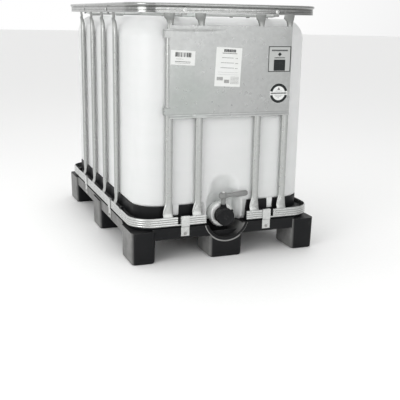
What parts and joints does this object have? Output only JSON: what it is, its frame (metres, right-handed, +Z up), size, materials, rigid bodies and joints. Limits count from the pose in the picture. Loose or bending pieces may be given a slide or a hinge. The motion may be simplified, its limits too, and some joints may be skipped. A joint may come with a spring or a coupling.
{
  "type": "intermediate bulk container",
  "caption": "Composite bulk liquid container: white plastic bottle in a steel bar cage on a plastic pallet, with bottom outlet valve, lever and screw lid.",
  "frame": {"origin": "centre of the footprint at floor level, under the pallet's feet", "axes": "+X to the right seen from the outlet side, +Y away from the outlet along the long side, +Z up"},
  "size_m": [0.8, 1.2, 0.997],
  "materials": {
    "black_plastic": "moulded",
    "bottle_plastic": "blow moulded, satin",
    "galvanised_steel": "galvanised",
    "bar_steel": "galvanised tube",
    "plate_steel": "galvanised sheet",
    "grey_plastic": "moulded",
    "nut_metal": "satin",
    "rubber": "matt"
  },
  "bodies": {
    "container": {"pallet": "black_plastic", "pallet_foot_front": "black_plastic", "pallet_foot_centre": "black_plastic", "pallet_foot_rear": "black_plastic", "valve_scoop": "black_plastic", "base_tray": "black_plastic", "bottle": "bottle_plastic", "fill_neck": "bottle_plastic", "outlet_neck": "bottle_plastic", "bottom_rail": "galvanised_steel", "top_rail": "galvanised_steel", "front_bar_1": "bar_steel", "front_bar_2": "bar_steel", "front_bar_3": "bar_steel", "front_bar_4": "bar_steel", "rear_bar_1": "bar_steel", "rear_bar_2": "bar_steel", "rear_bar_3": "bar_steel", "rear_bar_4": "bar_steel", "left_bar_1": "bar_steel", "left_bar_2": "bar_steel", "left_bar_3": "bar_steel", "left_bar_4": "bar_steel", "right_bar_1": "bar_steel", "right_bar_2": "bar_steel", "right_bar_3": "bar_steel", "right_bar_4": "bar_steel", "long_cross_bar_1": "bar_steel", "long_cross_bar_2": "bar_steel", "short_cross_bar_1": "bar_steel", "short_cross_bar_2": "bar_steel", "front_rivet_1": "galvanised_steel", "front_rivet_2": "galvanised_steel", "rear_rivet_1": "galvanised_steel", "rear_rivet_2": "galvanised_steel", "left_rivet_1": "galvanised_steel", "left_rivet_2": "galvanised_steel", "right_rivet_1": "galvanised_steel", "right_rivet_2": "galvanised_steel", "front_clamp_1": "galvanised_steel", "front_clamp_2": "galvanised_steel", "rear_clamp_1": "galvanised_steel", "rear_clamp_2": "galvanised_steel", "left_clamp_1": "galvanised_steel", "left_clamp_2": "galvanised_steel", "right_clamp_1": "galvanised_steel", "right_clamp_2": "galvanised_steel", "label_plate": "plate_steel", "valve_gasket": "rubber", "union_nut": "nut_metal", "valve_body": "black_plastic"},
    "lever": {"lever_handle": "grey_plastic", "valve_stem": "nut_metal", "valve_disc": "grey_plastic"},
    "lid_ring": {"lid_gasket": "rubber"},
    "fill_lid": {"fill_lid": "bottle_plastic", "vent_plug": "grey_plastic"},
    "cap_ring": {"cap_gasket": "rubber"},
    "outlet_cap": {"outlet_cap": "black_plastic"}
  },
  "joints": [
    {"name": "lever_turn", "type": "hinge", "parent": "container", "child": "lever", "pos_m": [0, -0.556, 0.25], "axis": [0, 0, -1], "range_deg": [0, 90]},
    {"name": "lid_lift", "type": "slide", "parent": "container", "child": "lid_ring", "axis": [0, 0, 1], "range_m": [0, 0.018]},
    {"name": "lid_turn", "type": "hinge", "parent": "lid_ring", "child": "fill_lid", "pos_m": [0, 0, 0.97], "axis": [0, 0, 1], "range_deg": [0, 1080]},
    {"name": "cap_travel", "type": "slide", "parent": "container", "child": "cap_ring", "axis": [0, -1, 0], "range_m": [0, 0.018]},
    {"name": "cap_turn", "type": "hinge", "parent": "cap_ring", "child": "outlet_cap", "pos_m": [0, -0.58, 0.162], "axis": [0, -1, 0], "range_deg": [0, 1080]}
  ],
  "couplings": [
    {"joint": "lid_lift", "follows": "lid_turn", "m_per_rad": 0.0009549},
    {"joint": "cap_travel", "follows": "cap_turn", "m_per_rad": 0.0009549}
  ]
}
